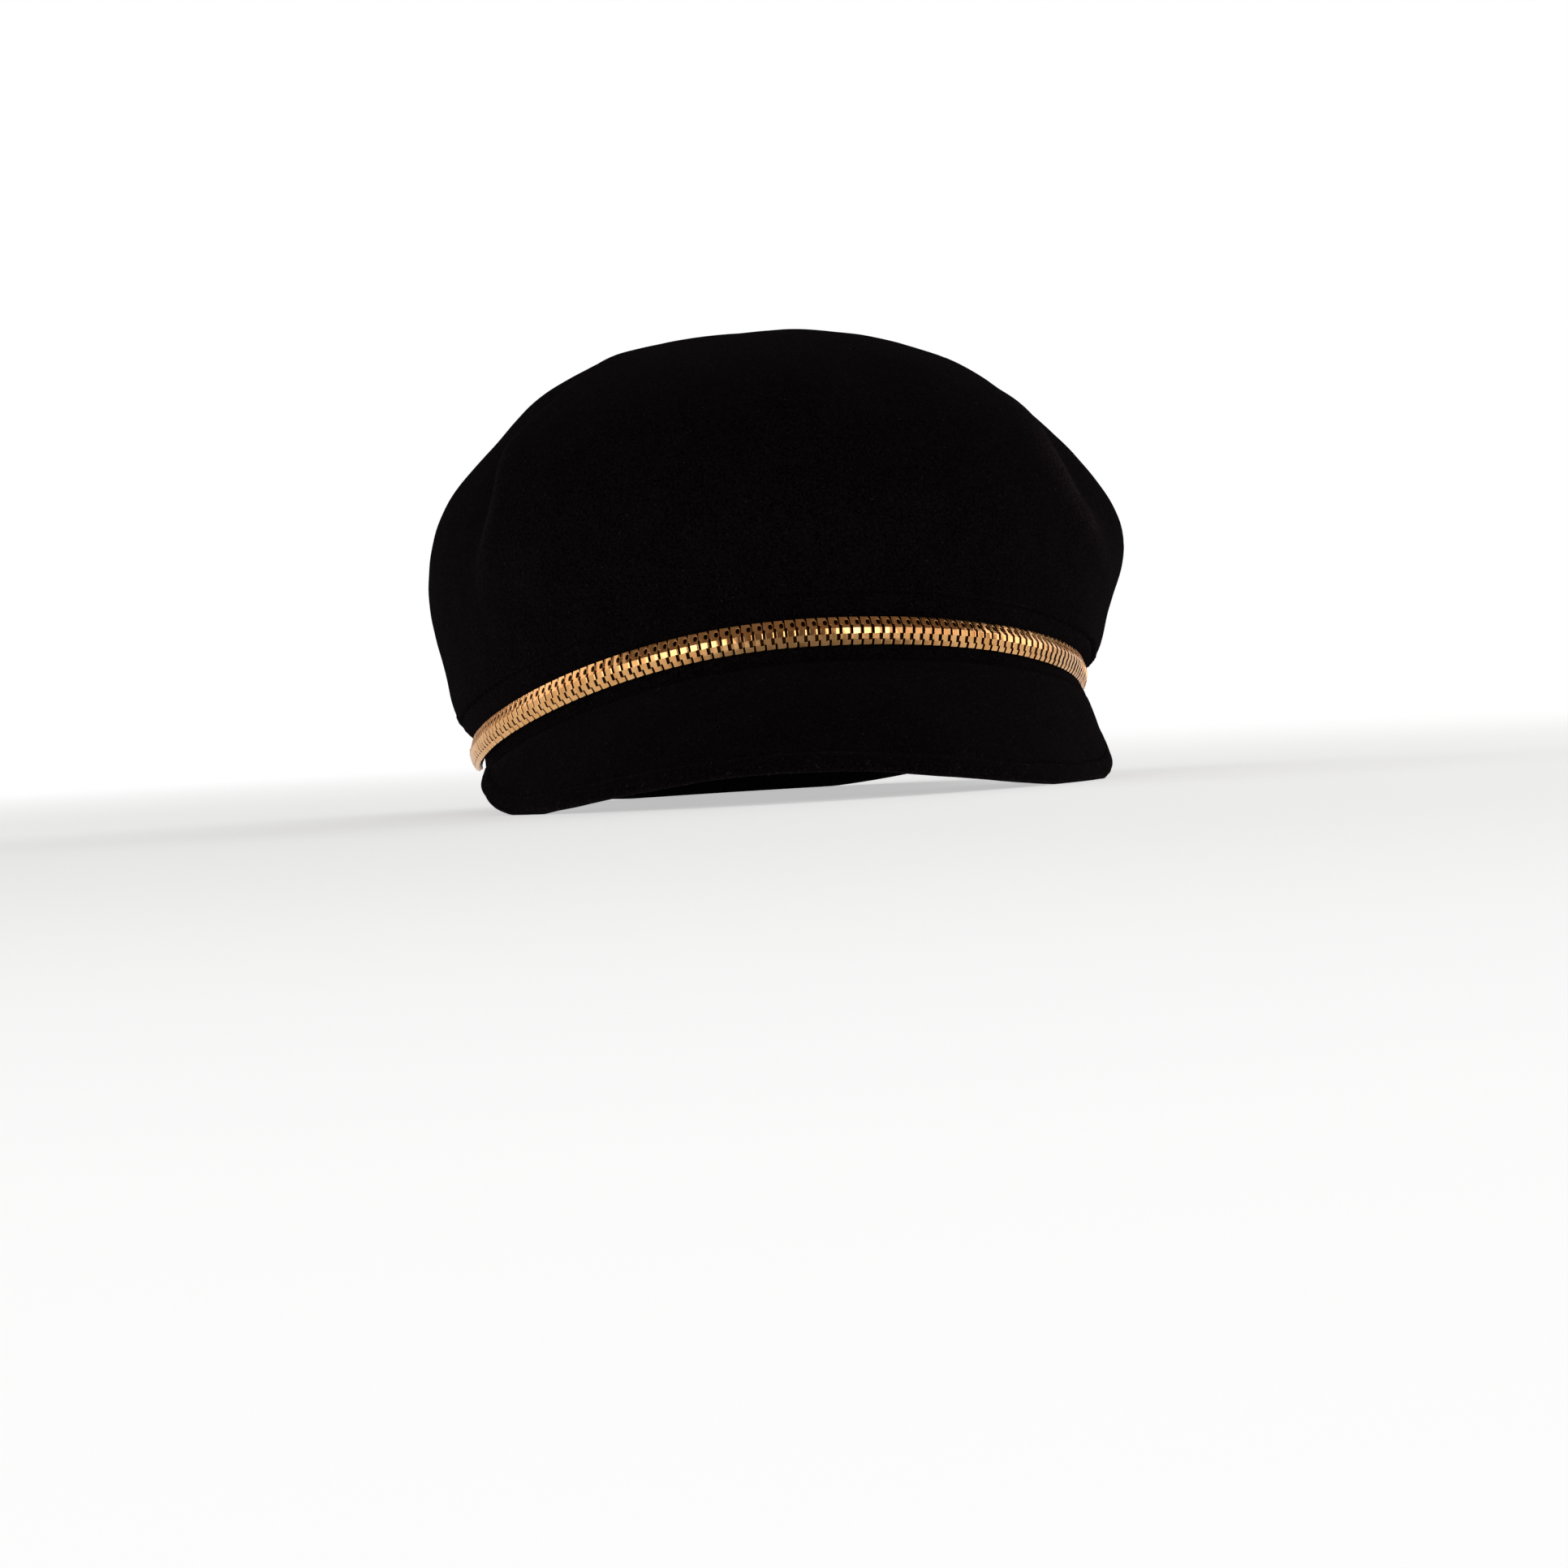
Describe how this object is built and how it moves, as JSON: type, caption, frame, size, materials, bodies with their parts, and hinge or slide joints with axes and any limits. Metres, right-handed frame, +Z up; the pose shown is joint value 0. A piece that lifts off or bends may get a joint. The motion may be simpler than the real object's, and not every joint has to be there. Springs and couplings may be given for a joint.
{
  "type": "baker boy cap",
  "caption": "Black wool felt baker boy cap with a full rounded crown, a short sloping peak and a flat gold chain across the front of the band.",
  "frame": {"origin": "bottom middle of the cap's box, on the surface it rests on", "axes": "-Y to the front, where the peak points, +X to the right of someone facing the peak, +Z up"},
  "size_m": [0.202, 0.2487, 0.1327],
  "materials": {
    "black_felt": "brushed wool felt, matt with a soft sheen",
    "gold_chain": "polished gold plate"
  },
  "bodies": {
    "root": {"crown": "black_felt", "peak": "black_felt", "chain": "gold_chain", "chain_end_left": "gold_chain", "chain_end_right": "gold_chain"}
  },
  "joints": []
}
